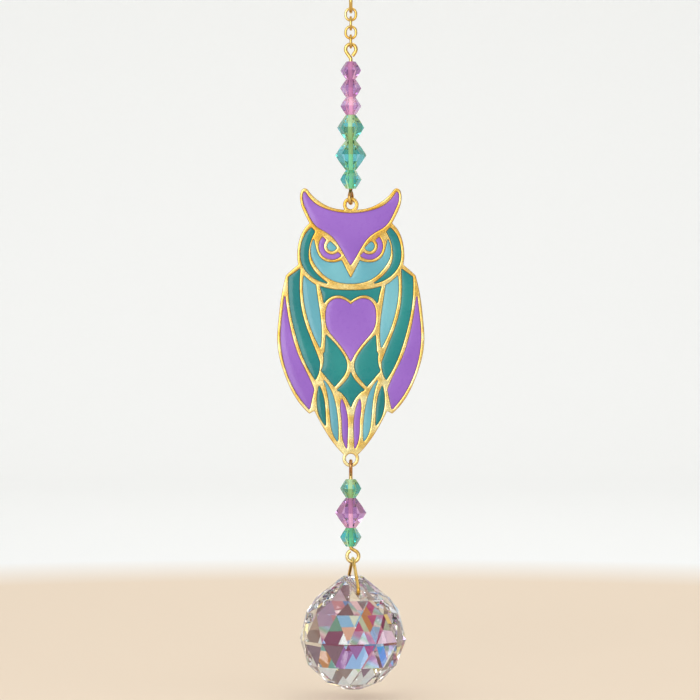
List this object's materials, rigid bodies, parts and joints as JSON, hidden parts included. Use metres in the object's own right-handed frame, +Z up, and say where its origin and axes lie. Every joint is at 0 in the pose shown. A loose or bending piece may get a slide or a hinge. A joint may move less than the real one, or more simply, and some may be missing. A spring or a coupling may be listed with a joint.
{
  "type": "hanging owl suncatcher",
  "caption": "Hanging suncatcher: a chain and beaded wire carry an enamelled openwork owl plate, with a beaded wire and a faceted crystal ball below.",
  "frame": {"origin": "centre of the hanging ring", "axes": "+Z up along the hanging line, the owl faces -Y, +X to the right seen from the front"},
  "size_m": [0.0284, 0.0204, 0.1348],
  "materials": {
    "gold": "polished gold plating",
    "enamel_violet": "glossy domed enamel",
    "enamel_teal": "glossy domed enamel",
    "enamel_aqua": "glossy domed enamel",
    "crystal_amethyst": "cut and polished",
    "crystal_teal": "cut and polished",
    "crystal_clear": "cut and polished, coated for coloured reflections"
  },
  "bodies": {
    "ring": {"hang_ring": "gold"},
    "link_1": {"chain_link_1": "gold"},
    "link_2": {"chain_link_2": "gold"},
    "link_3": {"chain_link_3": "gold"},
    "link_4": {"chain_link_4": "gold"},
    "upper_wire": {"upper_eye_wire": "gold"},
    "upper_bead_1": {"upper_bead_1_violet": "crystal_amethyst"},
    "upper_bead_2": {"upper_bead_2_violet": "crystal_amethyst"},
    "upper_bead_3": {"upper_bead_3_violet": "crystal_amethyst"},
    "upper_bead_4": {"upper_bead_4_teal": "crystal_teal"},
    "upper_bead_5": {"upper_bead_5_teal": "crystal_teal"},
    "upper_bead_6": {"upper_bead_6_teal": "crystal_teal"},
    "owl": {"owl_frame": "gold", "enamel_belly_leaf_left": "enamel_teal", "enamel_belly_leaf_right": "enamel_teal", "enamel_brow": "enamel_violet", "enamel_cheek_left": "enamel_teal", "enamel_cheek_right": "enamel_teal", "enamel_chest": "enamel_teal", "enamel_eye_ring_left": "enamel_violet", "enamel_eye_ring_right": "enamel_violet", "enamel_face": "enamel_aqua", "enamel_heart": "enamel_violet", "enamel_outer_wing_left": "enamel_violet", "enamel_outer_wing_right": "enamel_violet", "enamel_pupil_left": "enamel_aqua", "enamel_pupil_right": "enamel_aqua", "enamel_tail_aqua_left": "enamel_aqua", "enamel_tail_aqua_right": "enamel_aqua", "enamel_tail_diamond": "enamel_teal", "enamel_tail_teal_left": "enamel_teal", "enamel_tail_teal_right": "enamel_teal", "enamel_tail_violet_left": "enamel_violet", "enamel_tail_violet_right": "enamel_violet", "enamel_wing_band_left": "enamel_teal", "enamel_wing_band_right": "enamel_teal", "enamel_wing_feather_left": "enamel_aqua", "enamel_wing_feather_right": "enamel_aqua"},
    "lower_wire": {"lower_eye_wire": "gold"},
    "lower_bead_1": {"lower_bead_1_teal": "crystal_teal"},
    "lower_bead_2": {"lower_bead_2_violet": "crystal_amethyst"},
    "lower_bead_3": {"lower_bead_3_teal": "crystal_teal"},
    "bail": {"ball_bail": "gold"},
    "ball": {"crystal_ball": "crystal_clear"}
  },
  "joints": [
    {"name": "ring_link_1_swing", "type": "hinge", "parent": "ring", "child": "link_1", "pos_m": [0, 0, -0.00215], "axis": [0, 1, 0], "range_deg": [-60, 60]},
    {"name": "link_1_link_2_swing", "type": "hinge", "parent": "link_1", "child": "link_2", "pos_m": [0, 0, -0.0038], "axis": [1, 0, 0], "range_deg": [-60, 60]},
    {"name": "link_2_link_3_swing", "type": "hinge", "parent": "link_2", "child": "link_3", "pos_m": [0, 0, -0.00554], "axis": [0, -1, 0], "range_deg": [-60, 60]},
    {"name": "link_3_link_4_swing", "type": "hinge", "parent": "link_3", "child": "link_4", "pos_m": [0, 0, -0.00728], "axis": [-1, 0, 0], "range_deg": [-60, 60]},
    {"name": "link_4_upper_wire_swing", "type": "hinge", "parent": "link_4", "child": "upper_wire", "pos_m": [0, 0, -0.00902], "axis": [0, 1, 0], "range_deg": [-60, 60]},
    {"name": "upper_bead_1_spin", "type": "hinge", "parent": "upper_wire", "child": "upper_bead_1", "pos_m": [0, 0, -0.01347], "axis": [0, 0, 1], "continuous": true},
    {"name": "upper_bead_2_spin", "type": "hinge", "parent": "upper_wire", "child": "upper_bead_2", "pos_m": [0, 0, -0.01689], "axis": [0, 0, 1], "continuous": true},
    {"name": "upper_bead_3_spin", "type": "hinge", "parent": "upper_wire", "child": "upper_bead_3", "pos_m": [0, 0, -0.02031], "axis": [0, 0, 1], "continuous": true},
    {"name": "upper_bead_4_spin", "type": "hinge", "parent": "upper_wire", "child": "upper_bead_4", "pos_m": [0, 0, -0.02446], "axis": [0, 0, 1], "continuous": true},
    {"name": "upper_bead_5_spin", "type": "hinge", "parent": "upper_wire", "child": "upper_bead_5", "pos_m": [0, 0, -0.02975], "axis": [0, 0, 1], "continuous": true},
    {"name": "upper_bead_6_spin", "type": "hinge", "parent": "upper_wire", "child": "upper_bead_6", "pos_m": [0, 0, -0.03442], "axis": [0, 0, 1], "continuous": true},
    {"name": "upper_wire_owl_swing", "type": "hinge", "parent": "upper_wire", "child": "owl", "pos_m": [0, 0, -0.039], "axis": [0, -1, 0], "range_deg": [-40, 40]},
    {"name": "owl_lower_wire_swing", "type": "hinge", "parent": "owl", "child": "lower_wire", "pos_m": [0, 0, -0.08854], "axis": [0, 1, 0], "range_deg": [-50, 50]},
    {"name": "lower_bead_1_spin", "type": "hinge", "parent": "lower_wire", "child": "lower_bead_1", "pos_m": [0, 0, -0.09382], "axis": [0, 0, 1], "continuous": true},
    {"name": "lower_bead_2_spin", "type": "hinge", "parent": "lower_wire", "child": "lower_bead_2", "pos_m": [0, 0, -0.09849], "axis": [0, 0, 1], "continuous": true},
    {"name": "lower_bead_3_spin", "type": "hinge", "parent": "lower_wire", "child": "lower_bead_3", "pos_m": [0, 0, -0.10316], "axis": [0, 0, 1], "continuous": true},
    {"name": "lower_wire_bail_swing", "type": "hinge", "parent": "lower_wire", "child": "bail", "pos_m": [0.0004, 0, -0.10795], "axis": [0.9848, 0.1736, 0], "range_deg": [-55, 55]},
    {"name": "bail_ball_swing", "type": "hinge", "parent": "bail", "child": "ball", "pos_m": [0.0004, 0, -0.11361], "axis": [-0.1736, 0.9848, 0], "range_deg": [-45, 45]}
  ]
}
